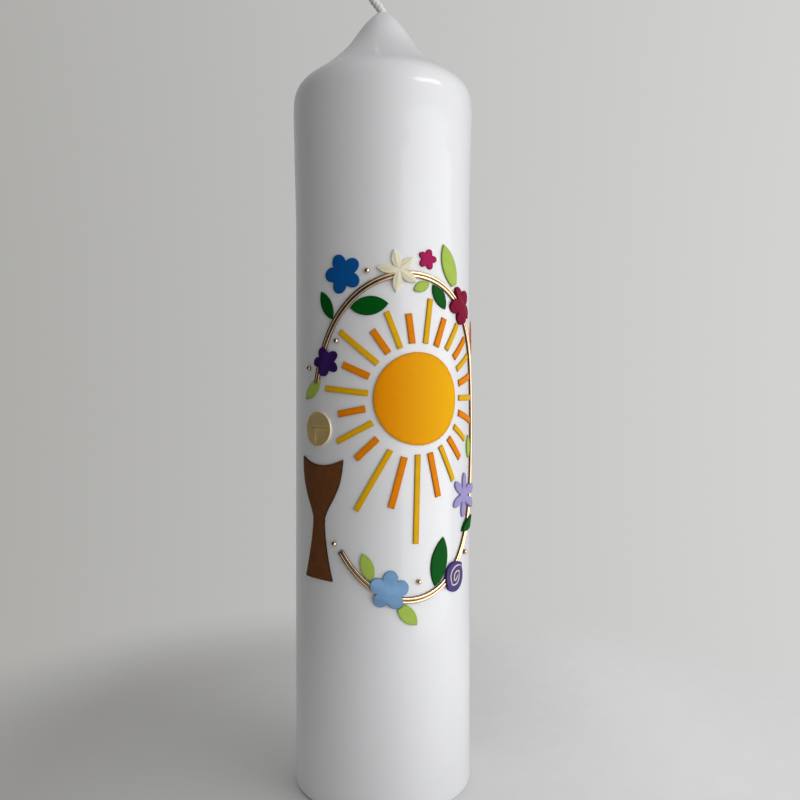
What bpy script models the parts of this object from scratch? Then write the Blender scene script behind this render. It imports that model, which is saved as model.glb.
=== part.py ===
"""Pillar candle decorated with cut wax sheet, as an assembly of separate solids.

The frame has +Z up and its origin at the centre of the base. The decorated side
faces -Y. Sizes are in millimetres, and MM turns them into Blender's metres.

A decoration is drawn flat: "across" runs round the candle's straight side, as a
length on its surface, and "up" runs along its axis. Both start at the sun's centre.
"""
import math

import bmesh
import bpy
from mathutils import Vector
from mathutils.geometry import interpolate_bezier

MM = 0.001

# Candle blank: a pressed core, dipped once in hard white wax.
BODY_DIAMETER = 60.0
BODY_HEIGHT = 265.0
HEAD_HEIGHT = 32.0
FLARE = 0.9
COAT = 1.6
BASE_EDGE = 1.3
WICK_DIAMETER = 2.8
WICK_STUB = 14.0
WICK_LEAN = 27.0
WICK_BEARING = 156.7
WICK_RECESS = 1.0
GAP = 0.3

# The head's outline: each knot with the handles before and after it, as shares of
# the shoulder's radius and of the head's height.
HEAD_KNOTS = [
    ((1.0, 0.0), (1.0, 0.0), (1.0, 0.122)),
    ((0.893, 0.147), (0.796, 0.219), (0.628, 0.341)),
    ((0.366, 0.569), (0.285, 0.738), (0.236, 0.819)),
    ((0.085, 1.0), (0.0, 1.0), (0.0, 1.0)),
]
HEAD_STEPS = 5
FLARE_STEPS = 4
TURN_STEPS = 48

# Decoration: the sun's height, the straight side kept for it, and the wax sheet.
SUN_HEIGHT = 130.4
MOTIF_REACH = 53.0
SHEET = 0.6
STRIP = 3.75
SUN_DIAMETER = 29.2
YELLOW_RAY_WIDTH = 1.85
ORANGE_RAY_WIDTH = 2.15

# Hand-laid rays, orange and yellow by turns: angle, inner end and outer end.
RAYS = [
    (190.5, 17.4, 26.6), (207.0, 16.6, 29.8), (223.0, 18.2, 27.5), (240.0, 18.4, 40.2),
    (255.0, 18.8, 35.2), (268.5, 17.5, 45.4), (282.7, 17.5, 31.9), (297.6, 17.0, 29.8),
    (312.4, 17.1, 26.2), (328.0, 16.9, 25.2), (345.0, 17.6, 28.6), (1.0, 17.1, 28.0),
    (16.4, 17.8, 27.4), (31.0, 18.6, 28.0), (43.0, 19.5, 29.1), (56.3, 18.9, 29.1),
    (69.6, 17.7, 27.4), (82.8, 17.5, 31.8), (97.6, 17.4, 26.8), (111.3, 16.8, 29.0),
    (125.0, 17.2, 25.9), (140.5, 17.1, 33.1), (156.5, 17.3, 26.7), (174.0, 16.3, 31.2),
]

# Wreath: two gold strands side by side on an egg-shaped oval, open at the lower left.
STRAND_DIAMETER = 0.9
WREATH_CENTRE = (-3.0, -12.0)
WREATH_HALF_WIDTH = 33.0
WREATH_HALF_HEIGHT = 50.9
WREATH_TAPER = 0.07
WREATH_START = -134.4
WREATH_END = 157.5
WREATH_STEPS = 56
BEAD_DIAMETER = 2.0
BEADS = [(-16.5, 39.8), (-26.8, 18.2), (-38.8, 9.9), (-27.5, -45.7), (-0.2, -57.3), (21.2, -50.6)]

# Chalice and host: the chalice's half widths at heights from its middle.
CHALICE_PLACE = (-33.9, -38.3)
CHALICE_TILT = -1.6
CHALICE_RIM_DIP = 2.2
CHALICE_HALF_WIDTHS = [
    (19.4, 9.0), (12.4, 8.1), (7.4, 6.1), (3.0, 3.6), (0.4, 2.5),
    (-3.1, 2.6), (-8.7, 3.45), (-14.2, 4.7), (-19.3, 6.2),
]
HOST_PLACE = (-34.3, -9.7)
HOST_DIAMETER = 11.4
SPIRAL_PLACE = (14.4, -57.5)
SPIRAL_DIAMETER = 10.0

# Flowers: name, place, petal angles, tip radius, notch radius, narrowness, and
# whether the flower lies over the wreath.
FLOWERS = [
    ("flower_blue", (-24.6, 39.2), (182, 110, 38, -34, -106), 6.35, 4.15, 0.7, False),
    ("flower_cream", (-7.0, 39.8), (100, 41, -31, -95, 171), 6.6, 2.7, 2.0, True),
    ("flower_magenta", (2.9, 43.9), (3, 75, 147, 219, 291), 3.3, 2.35, 0.7, False),
    ("flower_crimson", (18.4, 30.6), (190, 118, 46, -26, -98), 6.4, 4.2, 0.7, True),
    ("flower_violet", (-30.6, 11.7), (180, 108, 36, -36, -108), 4.7, 3.2, 0.7, True),
    ("flower_lilac", (20.6, -31.7), (86, 142, 206, 262, 326, 20), 7.3, 2.2, 1.8, True),
    ("flower_pale_blue", (-9.7, -59.6), (83, 155, 227, 299, 11), 6.2, 4.1, 0.7, True),
    ("flower_coral", (36.5, 20.8), (90, 162, 234, 306, 18), 6.2, 4.1, 0.7, False),
    ("flower_pink", (35.2, -19.6), (54, 126, 198, 270, 342), 4.25, 2.9, 0.7, False),
]

# Leaves: name, one tip, the other tip, width, and what it is trimmed clear of.
LEAVES = [
    ("leaf_dark_1", (-32.8, 34.1), (-28.3, 25.0), 4.0, ("wreath",)),
    ("leaf_dark_2", (-22.0, 28.3), (-9.9, 29.6), 5.9, ("wreath",)),
    ("leaf_dark_3", (5.0, 36.6), (9.9, 28.6), 4.4, ("wreath",)),
    ("leaf_dark_4", (9.1, -44.1), (5.7, -59.6), 6.4, ("wreath",)),
    ("leaf_dark_5", (18.8, -43.5), (27.2, -39.0), 4.0, ("wreath_over",)),
    ("leaf_dark_6", (33.5, 4.6), (36.5, 11.4), 4.0, ()),
    ("leaf_light_1", (9.1, 49.3), (14.8, 35.1), 6.2, ("flower_crimson",)),
    ("leaf_light_2", (-1.9, 33.9), (3.5, 36.5), 3.4, ("wreath",)),
    ("leaf_light_3", (-33.3, 6.0), (-40.9, -0.2), 4.2, ()),
    ("leaf_light_4", (25.0, -12.1), (25.2, -19.8), 4.0, ()),
    ("leaf_light_5", (-18.0, -48.2), (-15.0, -56.9), 4.2, ("flower_pale_blue",)),
    ("leaf_light_6", (-7.2, -63.9), (-0.8, -70.8), 4.6, ("flower_pale_blue", "wreath")),
]

# Linear colours, roughness and metallic value of each wax or thread.
FINISHES = {
    "white_wax": ((0.84, 0.85, 0.87), 0.38, 0.0),
    "core_wax": ((0.80, 0.79, 0.75), 0.55, 0.0),
    "cotton": ((0.82, 0.81, 0.78), 0.85, 0.0),
    "sun_yellow": ((0.95, 0.42, 0.002), 0.4, 0.0),
    "ray_yellow": ((0.86, 0.47, 0.012), 0.4, 0.0),
    "ray_orange": ((0.87, 0.27, 0.004), 0.4, 0.0),
    "gold": ((0.80, 0.58, 0.30), 0.25, 1.0),
    "bronze_brown": ((0.19, 0.085, 0.035), 0.45, 0.3),
    "host_gold": ((0.55, 0.45, 0.22), 0.35, 0.6),
    "dark_green": ((0.003, 0.145, 0.024), 0.4, 0.0),
    "light_green": ((0.46, 0.74, 0.09), 0.4, 0.0),
    "blue": ((0.008, 0.12, 0.42), 0.4, 0.0),
    "cream": ((0.86, 0.81, 0.57), 0.35, 0.0),
    "magenta": ((0.45, 0.026, 0.11), 0.4, 0.0),
    "crimson": ((0.30, 0.016, 0.05), 0.35, 0.0),
    "violet": ((0.04, 0.016, 0.10), 0.4, 0.0),
    "lilac": ((0.46, 0.40, 0.76), 0.4, 0.0),
    "pale_blue": ((0.26, 0.47, 0.75), 0.4, 0.0),
    "coral": ((0.80, 0.22, 0.15), 0.4, 0.0),
    "pink": ((0.80, 0.36, 0.42), 0.4, 0.0),
    "spiral_violet": ((0.10, 0.075, 0.25), 0.4, 0.0),
}

BODY_RADIUS = BODY_DIAMETER / 2
SHOULDER_HEIGHT = BODY_HEIGHT - HEAD_HEIGHT
CHANNEL_RADIUS = WICK_DIAMETER / 2 + GAP
STRAND_SPACING = STRAND_DIAMETER + GAP
WREATH_BAND = STRAND_SPACING + STRAND_DIAMETER
GROOVE_TOP = GAP + STRAND_DIAMETER + GAP
OVERLAY = GROOVE_TOP - GAP + SHEET


# Scene, materials and placing


def clear_scene():
    for obj in list(bpy.data.objects):
        bpy.data.objects.remove(obj, do_unlink=True)


def new_collection(name):
    collection = bpy.data.collections.new(name)
    bpy.context.scene.collection.children.link(collection)
    return collection


def make_material(name):
    colour, roughness, metallic = FINISHES[name]
    material = bpy.data.materials.new(name)
    material.use_nodes = True
    shader = material.node_tree.nodes["Principled BSDF"]
    shader.inputs["Base Color"].default_value = (*colour, 1.0)
    shader.inputs["Roughness"].default_value = roughness
    shader.inputs["Metallic"].default_value = metallic
    material.diffuse_color = (*colour, 1.0)
    return material


def finish_part(obj, finish, smooth_angle=40):
    mesh = obj.data
    mesh.materials.clear()
    mesh.materials.append(MATERIALS[finish])
    mesh.shade_smooth()
    mesh.set_sharp_from_angle(angle=math.radians(smooth_angle))
    PARTS.objects.link(obj)
    return obj


def place_on_side(obj, across, up):
    """Turns a piece to its place round the candle and hangs it on the motif."""
    bearing = across / BODY_RADIUS
    spot = Vector((math.sin(bearing), -math.cos(bearing), 0)) * BODY_RADIUS
    obj.parent = MOTIF
    obj.location = (spot + Vector((0, 0, up))) * MM
    obj.rotation_euler.z = bearing


def mark_cutter(obj):
    obj.hide_render = True
    obj.display_type = "WIRE"
    CUTTERS.objects.link(obj)
    return obj


def cut(obj, cutter):
    modifier = obj.modifiers.new(f"clear_of_{cutter.name}", "BOOLEAN")
    modifier.operation = "DIFFERENCE"
    modifier.solver = "EXACT"
    modifier.object = cutter


# Candle blank


def flared_radius(share):
    """Radius of the side, which flares gently from the decoration to the shoulder."""
    return BODY_RADIUS + FLARE * share * share * (3 - 2 * share)


def head_points(shoulder_radius, top):
    """The head's outline, from the shoulder to the top of the axis."""
    scale = Vector((shoulder_radius, HEAD_HEIGHT))
    foot = Vector((0, top - HEAD_HEIGHT))
    points = []
    for first, second in zip(HEAD_KNOTS, HEAD_KNOTS[1:]):
        control = [first[1], first[2], second[0], second[1]]
        flat = [(Vector(point) * scale + foot).to_3d() for point in control]
        points += interpolate_bezier(*flat, HEAD_STEPS)[:-1]
    points.append(Vector((0, top, 0)))
    return [(point.x, point.y) for point in points]


def stop_at_channel(points):
    """Ends an outline that climbs towards the axis at the wick's channel."""
    kept = [point for point in points if point[0] > CHANNEL_RADIUS]
    inner = points[len(kept)]
    outer = kept[-1]
    share = (outer[0] - CHANNEL_RADIUS) / (outer[0] - inner[0])
    kept.append((CHANNEL_RADIUS, outer[1] + share * (inner[1] - outer[1])))
    return kept


def blank_outline(inset):
    """Outline of the candle, base to apex, moved in and down by the inset."""
    start = SUN_HEIGHT + MOTIF_REACH
    rise = SHOULDER_HEIGHT - inset - start
    shares = [step / FLARE_STEPS for step in range(FLARE_STEPS)]
    side = [(flared_radius(share) - inset, start + rise * share) for share in shares]
    head = head_points(BODY_RADIUS + FLARE - inset, BODY_HEIGHT - inset)
    return side + stop_at_channel(head)


def base_edge():
    """Rounded lower edge of the coat, from the base up to the side."""
    points = []
    for step in range(4):
        angle = math.radians(30 * step)
        out = BODY_RADIUS - BASE_EDGE * (1 - math.sin(angle))
        points.append((out, BASE_EDGE * (1 - math.cos(angle))))
    return points


def turned(name, outline):
    """A solid of revolution from a closed outline that runs down its outer side."""
    mesh = bpy.data.meshes.new(name)
    corners = [(radius * MM, 0, height * MM) for radius, height in outline]
    edges = [(i, (i + 1) % len(corners)) for i in range(len(corners))]
    mesh.from_pydata(corners, edges, [])
    obj = bpy.data.objects.new(name, mesh)
    screw = obj.modifiers.new("turn", "SCREW")
    screw.steps = TURN_STEPS
    screw.render_steps = TURN_STEPS
    screw.use_merge_vertices = True
    screw.merge_threshold = 0.00001
    screw.use_smooth_shade = True
    return obj


def make_core():
    outer = [(BODY_RADIUS - COAT - GAP, 0.0)] + blank_outline(COAT + GAP)
    outline = list(reversed(outer)) + [(CHANNEL_RADIUS, 0.0)]
    return finish_part(turned("wax_core", outline), "core_wax")


def make_coat():
    outer = base_edge() + blank_outline(0.0)
    inner = [(BODY_RADIUS - COAT, 0.0)] + blank_outline(COAT)
    outline = list(reversed(outer)) + inner
    return finish_part(turned("overdip_coat", outline), "white_wax")


def tube(name, points, diameter):
    """A round tube along a list of points in millimetres."""
    curve = bpy.data.curves.new(name, "CURVE")
    curve.dimensions = "3D"
    curve.bevel_depth = diameter / 2 * MM
    curve.bevel_resolution = 2
    curve.use_fill_caps = True
    spline = curve.splines.new("POLY")
    spline.points.add(len(points) - 1)
    for knot, point in zip(spline.points, points):
        knot.co = (*(Vector(point) * MM), 1.0)
    guide = bpy.data.objects.new(f"{name}_guide", curve)
    return mesh_from_curve(name, guide)


def mesh_from_curve(name, guide):
    """Makes a mesh of a curve, welds its loose caps and removes the curve."""
    bpy.context.scene.collection.objects.link(guide)
    graph = bpy.context.evaluated_depsgraph_get()
    mesh = bpy.data.meshes.new_from_object(guide.evaluated_get(graph))
    mesh.name = name
    bm = bmesh.new()
    bm.from_mesh(mesh)
    bmesh.ops.remove_doubles(bm, verts=bm.verts, dist=0.000001)
    bmesh.ops.recalc_face_normals(bm, faces=bm.faces)
    bm.to_mesh(mesh)
    bm.free()
    obj = bpy.data.objects.new(name, mesh)
    obj.matrix_world = guide.matrix_world
    bpy.data.objects.remove(guide, do_unlink=True)
    return obj


def make_wick():
    """Braided cotton wick: straight in its channel, then leaning as a free stub."""
    bend_start = BODY_HEIGHT + GAP
    bearing = math.radians(WICK_BEARING)
    points = [(0, 0, WICK_RECESS), (0, 0, BODY_HEIGHT / 2), (0, 0, bend_start)]
    steps = 5
    step_length = WICK_STUB / steps
    out, height = 0.0, bend_start
    for step in range(steps):
        lean = math.radians(WICK_LEAN * min(1.0, (step + 0.5) / 2))
        out += step_length * math.sin(lean)
        height += step_length * math.cos(lean)
        points.append((out * math.cos(bearing), out * math.sin(bearing), height))
    return finish_part(tube("wick", points, WICK_DIAMETER), "cotton", 60)


# Wax sheet wrapped round the side


def wrap(mesh, level):
    """Rolls a flat mesh onto the side: x goes round, y up and z outwards."""
    for vertex in mesh.vertices:
        across, up, out = vertex.co
        bearing = across / (BODY_RADIUS * MM)
        reach = BODY_RADIUS * MM + level * MM + out
        x = reach * math.sin(bearing)
        y = BODY_RADIUS * MM - reach * math.cos(bearing)
        vertex.co = (x, y, up)
    mesh.update()


def score_across(mesh):
    """Splits a flat mesh into upright strips narrow enough to follow the side."""
    bm = bmesh.new()
    bm.from_mesh(mesh)
    reach = max(abs(vertex.co.x) for vertex in bm.verts)
    count = math.ceil(reach / (STRIP * MM))
    for index in range(-count, count + 1):
        bmesh.ops.bisect_plane(
            bm,
            geom=bm.verts[:] + bm.edges[:] + bm.faces[:],
            dist=0.0000001,
            plane_co=(index * STRIP * MM, 0, 0),
            plane_no=(1, 0, 0),
        )
    bm.to_mesh(mesh)
    bm.free()


def sheet(name, outline, bottom=GAP, thickness=SHEET):
    """A flat outline cut from wax sheet and rolled onto the side."""
    curve = bpy.data.curves.new(name, "CURVE")
    curve.dimensions = "2D"
    curve.fill_mode = "BOTH"
    curve.extrude = thickness / 2 * MM
    spline = curve.splines.new("POLY")
    spline.points.add(len(outline) - 1)
    for knot, (across, up) in zip(spline.points, outline):
        knot.co = (across * MM, up * MM, 0, 1)
    spline.use_cyclic_u = True
    obj = mesh_from_curve(name, bpy.data.objects.new(f"{name}_guide", curve))
    score_across(obj.data)
    wrap(obj.data, bottom + thickness / 2)
    return obj


def turned_outline(outline, degrees):
    angle = math.radians(degrees)
    cosine, sine = math.cos(angle), math.sin(angle)
    return [(x * cosine - y * sine, x * sine + y * cosine) for x, y in outline]


def circle_outline(diameter, count):
    angles = [math.tau * index / count for index in range(count)]
    return [(diameter / 2 * math.cos(a), diameter / 2 * math.sin(a)) for a in angles]


def flower_outline(petals, tip, notch, narrowness, steps=8):
    """Petals as waves between a notch radius and a tip radius."""
    tips = sorted(angle % 360 for angle in petals)
    points = []
    for first, second in zip(tips, tips[1:] + [tips[0] + 360]):
        for step in range(steps):
            share = step / steps
            angle = math.radians(first + (second - first) * share)
            swell = abs(math.cos(math.pi * share)) ** narrowness
            radius = notch + (tip - notch) * swell
            points.append((radius * math.cos(angle), radius * math.sin(angle)))
    return points


def leaf_outline(length, width, steps=8):
    """Two equal arcs that meet at a point at either end."""
    radius = (length * length / 4 + width * width / 4) / width
    half_turn = math.asin(length / 2 / radius)
    side = []
    for step in range(steps):
        angle = half_turn * (2 * step / steps - 1)
        side.append((radius * math.sin(angle), radius * math.cos(angle) - radius + width / 2))
    return side + [(-x, -y) for x, y in side]


def make_sun():
    obj = sheet("sun_disc", circle_outline(SUN_DIAMETER, 40))
    place_on_side(obj, 0, 0)
    return finish_part(obj, "sun_yellow")


def make_ray(index, angle, inner, outer):
    colour, width = [("orange", ORANGE_RAY_WIDTH), ("yellow", YELLOW_RAY_WIDTH)][index % 2]
    half_length = (outer - inner) / 2
    corners = [(-1, -1), (1, -1), (1, 1), (-1, 1)]
    outline = [(x * half_length, y * width / 2) for x, y in corners]
    obj = sheet(f"ray_{colour}_{index // 2 + 1:02d}", turned_outline(outline, angle))
    middle = (inner + outer) / 2
    across = middle * math.cos(math.radians(angle))
    place_on_side(obj, across, middle * math.sin(math.radians(angle)))
    return finish_part(obj, f"ray_{colour}")


def make_chalice():
    """Bowl, stem and foot in one outline, with a dipped rim."""
    right = [(half, height) for height, half in CHALICE_HALF_WIDTHS]
    left = [(-half, height) for half, height in reversed(right)]
    rim_half, rim_height = right[0]
    rim = []
    for share in (-0.5, 0.0, 0.5):
        rim.append((share * rim_half, rim_height - CHALICE_RIM_DIP * (1 - share * share)))
    obj = sheet("chalice", turned_outline(rim + right + left, CHALICE_TILT))
    place_on_side(obj, *CHALICE_PLACE)
    return finish_part(obj, "bronze_brown")


def make_host():
    obj = sheet("host", circle_outline(HOST_DIAMETER, 32))
    place_on_side(obj, *HOST_PLACE)
    return finish_part(obj, "host_gold")


# Wreath


def wreath_point(degrees):
    angle = math.radians(degrees)
    taper = 1 + WREATH_TAPER * math.sin(angle)
    across = WREATH_CENTRE[0] + WREATH_HALF_WIDTH * taper * math.cos(angle)
    return Vector((across, WREATH_CENTRE[1] + WREATH_HALF_HEIGHT * math.sin(angle)))


def wreath_line(offset):
    """Points of the oval, moved sideways by an offset to the outside."""
    points = []
    for step in range(WREATH_STEPS + 1):
        angle = WREATH_START + (WREATH_END - WREATH_START) * step / WREATH_STEPS
        along = wreath_point(angle + 0.5) - wreath_point(angle - 0.5)
        outward = Vector((along.y, -along.x)).normalized()
        points.append(wreath_point(angle) + outward * offset)
    return points


def make_strand(name, side):
    centre = BODY_RADIUS + GAP + STRAND_DIAMETER / 2
    points = []
    for across, up in wreath_line(side * STRAND_SPACING / 2):
        bearing = across / BODY_RADIUS
        points.append((centre * math.sin(bearing), -centre * math.cos(bearing), up))
    obj = tube(name, points, STRAND_DIAMETER)
    obj.parent = MOTIF
    return finish_part(obj, "gold", 60)


def make_wreath_channel():
    """The space both strands take, with its clearance, as a cutter."""
    curve = bpy.data.curves.new("wreath_channel", "CURVE")
    curve.dimensions = "2D"
    curve.extrude = GROOVE_TOP * MM
    spline = curve.splines.new("POLY")
    line = wreath_line(0)
    spline.points.add(len(line) - 1)
    for knot, (across, up) in zip(spline.points, line):
        knot.co = (across * MM, up * MM, 0, 1)
    guide = bpy.data.objects.new("wreath_channel_guide", curve)
    solidify = guide.modifiers.new("width", "SOLIDIFY")
    solidify.thickness = (WREATH_BAND + 2 * GAP) * MM
    solidify.offset = 0
    solidify.use_even_offset = True
    obj = mesh_from_curve("wreath_channel", guide)
    wrap(obj.data, 0)
    place_on_side(obj, 0, 0)
    return mark_cutter(obj)


def make_bead(index, across, up):
    bm = bmesh.new()
    bmesh.ops.create_uvsphere(bm, u_segments=10, v_segments=6, radius=BEAD_DIAMETER / 2 * MM)
    lift = Vector((0, -(GAP + BEAD_DIAMETER / 2) * MM, 0))
    bmesh.ops.translate(bm, verts=bm.verts, vec=lift)
    name = f"bead_{index + 1}"
    mesh = bpy.data.meshes.new(name)
    bm.to_mesh(mesh)
    bm.free()
    obj = bpy.data.objects.new(name, mesh)
    place_on_side(obj, across, up)
    return finish_part(obj, "gold", 60)


# Flowers, spiral disc and leaves


def make_clearance(name, outline, place):
    """What a piece over the wreath keeps free of the leaves that it meets."""
    obj = sheet(f"{name}_clearance", outline, bottom=-GAP, thickness=OVERLAY + 3 * GAP)
    place_on_side(obj, *place)
    return mark_cutter(obj)


def make_flower(name, place, petals, tip, notch, narrowness, over_wreath):
    outline = flower_outline(petals, tip, notch, narrowness)
    obj = sheet(name, outline, thickness=OVERLAY if over_wreath else SHEET)
    place_on_side(obj, *place)
    if over_wreath:
        cut(obj, WREATH_CHANNEL)
    return finish_part(obj, name.removeprefix("flower_"))


def make_flower_clearance(name):
    place, petals, tip, notch, narrowness = next(row[1:6] for row in FLOWERS if row[0] == name)
    outline = flower_outline(petals, tip + GAP, notch + GAP, narrowness)
    return make_clearance(name, outline, place)


def make_spiral_disc():
    obj = sheet("spiral_disc", circle_outline(SPIRAL_DIAMETER, 32), thickness=OVERLAY)
    place_on_side(obj, *SPIRAL_PLACE)
    cut(obj, WREATH_CHANNEL)
    return finish_part(obj, "spiral_violet")


def make_leaf(name, first, second, width, trims, clearances):
    """A leaf between two tips, trimmed where a flower or the wreath crosses it."""
    along = Vector(second) - Vector(first)
    middle = (Vector(first) + Vector(second)) / 2
    angle = math.degrees(math.atan2(along.y, along.x))
    outline = turned_outline(leaf_outline(along.length, width), angle)
    over_wreath = "wreath_over" in trims
    obj = sheet(name, outline, thickness=OVERLAY if over_wreath else SHEET)
    place_on_side(obj, *middle)
    for trim in trims:
        cut(obj, clearances.get(trim, WREATH_CHANNEL))
    return finish_part(obj, "dark_green" if "dark" in name else "light_green")


def make_leaves():
    trims = sorted({trim for row in LEAVES for trim in row[4] if trim.startswith("flower")})
    clearances = {trim: make_flower_clearance(trim) for trim in trims}
    for row in LEAVES:
        make_leaf(*row, clearances)


clear_scene()
PARTS = new_collection("decorated_pillar_candle")
CUTTERS = new_collection("cutters")
MATERIALS = {name: make_material(name) for name in FINISHES}
MOTIF = bpy.data.objects.new("motif", None)
MOTIF.location.z = SUN_HEIGHT * MM
PARTS.objects.link(MOTIF)

make_core()
make_coat()
make_wick()
make_sun()
for ray_index, ray in enumerate(RAYS):
    make_ray(ray_index, *ray)
make_chalice()
make_host()
make_strand("wreath_strand_outer", 1)
make_strand("wreath_strand_inner", -1)
WREATH_CHANNEL = make_wreath_channel()
for bead_index, bead in enumerate(BEADS):
    make_bead(bead_index, *bead)
for flower in FLOWERS:
    make_flower(*flower)
make_spiral_disc()
make_leaves()
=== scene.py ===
"""Looks of a pillar candle decorated with cut wax sheet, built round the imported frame.

The decoration is worked out flat, in millimetres on the candle's straight side: s runs
round it from the middle of the sun, z up it, and h out of its surface.
"""

import math

import bpy
import numpy as np
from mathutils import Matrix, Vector, noise
from mathutils.geometry import delaunay_2d_cdt


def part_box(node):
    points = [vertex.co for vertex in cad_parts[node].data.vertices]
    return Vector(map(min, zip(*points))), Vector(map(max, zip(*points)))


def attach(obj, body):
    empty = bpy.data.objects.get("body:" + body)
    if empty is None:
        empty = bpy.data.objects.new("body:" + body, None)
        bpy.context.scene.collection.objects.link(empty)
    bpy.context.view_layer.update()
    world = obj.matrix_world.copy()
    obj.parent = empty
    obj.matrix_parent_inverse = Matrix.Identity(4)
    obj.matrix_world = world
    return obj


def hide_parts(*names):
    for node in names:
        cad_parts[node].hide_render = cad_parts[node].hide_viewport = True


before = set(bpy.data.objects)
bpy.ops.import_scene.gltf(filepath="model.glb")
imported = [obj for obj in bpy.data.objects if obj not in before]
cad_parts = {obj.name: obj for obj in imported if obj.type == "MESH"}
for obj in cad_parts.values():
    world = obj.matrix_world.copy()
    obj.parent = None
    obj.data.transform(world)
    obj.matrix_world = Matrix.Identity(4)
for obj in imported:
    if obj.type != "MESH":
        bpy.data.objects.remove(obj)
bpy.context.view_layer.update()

MM = 0.001

# Camera, in the part's frame: where it stands, its turn about Z and its lens.
CAMERA_PLACE = (-0.1050, -0.2587, 0.1300)
CAMERA_TURN = -23.3
CAMERA_LENS = 36.1

# Wax sheet: thickness, radius of the cut edge and shares of it where inset lines run,
# how far it is sunk in and how thick it is beneath, its waviness, and the width of the painted
# shading along its cut edge.
SHEET_THICKNESS = 0.55
SUN_THICKNESS = 0.6
RAY_THICKNESS = 0.5
SHEET_EDGE = 0.18
SHEET_EDGE_STEPS = (0.12, 0.35, 0.65, 1.0)
SINK = 0.12
UNDERSIDE = 0.2
WAVINESS = 0.05
PAINTED_EDGE_WIDTH = 0.3

# Outlines: the step along them, and the turn in degrees that stays a corner.
OUTLINE_STEP = 0.3
CORNER = 48.0
CHALICE_CORNER = 18.0
NOTCH_TURN = -50.0
STRAIGHT_TURN = 1.2
SAME_POINT = 0.012

# Flowers: how narrow a petal is, and its notch radius as a share of its tip radius.
PETALS = {
    "flower_blue": (0.9, 0.60),
    "flower_magenta": (1.1, 0.62),
    "flower_crimson": (0.85, 0.58),
    "flower_violet": (1.1, 0.57),
    "flower_lilac": (1.3, 0.34),
    "flower_pale_blue": (0.78, 0.62),
    "flower_coral": (0.9, 0.60),
    "flower_pink": (0.9, 0.60),
}

# Leaves made narrower than their CAD solids.
SLIM_LEAVES = {"leaf_dark_5": 0.8}

# Cream flower: half widths of a petal at shares of its length, and its notches' reach.
CREAM_WIDTHS = ((0.42, 1.42), (0.66, 1.36), (0.86, 0.8))
CREAM_NOTCH = 1.5

# Spiral: where it starts, how far it turns, and its line's radius.
SPIRAL_START = 55.0
SPIRAL_TURN = 700.0
SPIRAL_STEPS = 150
SPIRAL_RADIUS = 0.22

# Host: the ends of the lines of its cross, from its centre.
HOST_CROSS = (((-3.7, 0.5), (4.2, 0.5)), ((-0.6, 0.8), (-0.6, -4.9)))

# Gold strands: radius, height of their middle, how far they run past their nodes, how much
# closer together they lie, and the angle in degrees of the wreath's opening.
STRAND_RADIUS = 0.52
STRAND_LIFT = 0.42
STRAND_START = 0.7
STRAND_END = 2.7
STRAND_SIDES = 16
STRAND_CLOSER = 0.9
WREATH_OPENING = 190.0

# What lies over the strands is lifted whole near their middle line, and not at all further out.
DRAPE_FULL = 0.9
DRAPE_NONE = 4.2

# Beads: size against their nodes, height of their middle, and how flat they are.
BEAD_SHARE = 0.82
BEAD_LIFT = 0.7
BEAD_FLATNESS = 0.92
BEAD_RINGS = 12
BEAD_SIDES = 20

# Body: sides, step along its outline, rounds of smoothing, and the heights from which it
# is smoothed and uneven.
BODY_SIDES = 192
BODY_STEP = 1.3
SHOULDER_SOFTENING = 10
SHOULDER_BOTTOM = 215.0
WOBBLE_BOTTOM = 186.0

# Wick: sides, how far its plait stands out, and its turn for each millimetre.
WICK_SIDES = 30
WICK_STEP = 0.16
WICK_PLAIT = 0.10
WICK_CLIMB = 4.2

# Floor: how far it is whole and where it has faded out, in metres, and its left colour, painted
# darker as shadow away from the window.
FLOOR_FULL = 0.12
FLOOR_GONE = 0.24
FLOOR_SIDES = 96
FLOOR_SHADED_LEFT = (0.56, 0.555, 0.54)

# Painted light: how much the floor glows for the camera on the window's side, with no light on the
# candle.
FLOOR_PAINTED_LIGHT = 0.11

# World: light on the side away from the window and on its side, and the backdrop's colour, painted
# darker to the left as shade.
DIM_LIGHT = 0.10
DAY_LIGHT = 0.46
BACKDROP_SHADED_LEFT = (0.42, 0.415, 0.40)
BACKDROP_LIT_RIGHT = (0.65, 0.65, 0.645)

# The window's angle to the right of the camera, and what shiny surfaces mirror.
WINDOW_ANGLE = 60.0
MIRRORED_ROOM = 0.02
MIRRORED_WINDOW = 1.0
MIRRORED_WALL = 0.35

# Height that the lamps are aimed at, in metres.
LAMP_AIM = 0.14


def node_vertices(name):
    """Vertices of a CAD node in millimetres."""
    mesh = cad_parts[name].data
    flat = np.empty(len(mesh.vertices) * 3)
    mesh.vertices.foreach_get("co", flat)
    return flat.reshape(-1, 3) / MM


def straight_radius():
    points = node_vertices("overdip_coat")
    low = points[points[:, 2] < 100.0]
    return float(np.hypot(low[:, 0], low[:, 1]).max())


def wick_radius():
    points = node_vertices("wick")
    low = points[points[:, 2] < 50.0]
    return float(np.hypot(low[:, 0], low[:, 1]).max())


RADIUS = straight_radius()
WICK_RADIUS = wick_radius()


# Unrolling and rolling


def unroll(points):
    """World millimetres to (s, z, h)."""
    points = np.asarray(points, float)
    s = RADIUS * np.arctan2(points[:, 0], -points[:, 1])
    return np.stack([s, points[:, 2], np.hypot(points[:, 0], points[:, 1]) - RADIUS], 1)


def roll(points):
    """(s, z, h) to world metres."""
    points = np.asarray(points, float)
    angle = points[:, 0] / RADIUS
    reach = RADIUS + points[:, 2]
    return np.stack([reach * np.sin(angle), -reach * np.cos(angle), points[:, 1]], 1) * MM


# Outlines, read from the CAD nodes and smoothed


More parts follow.
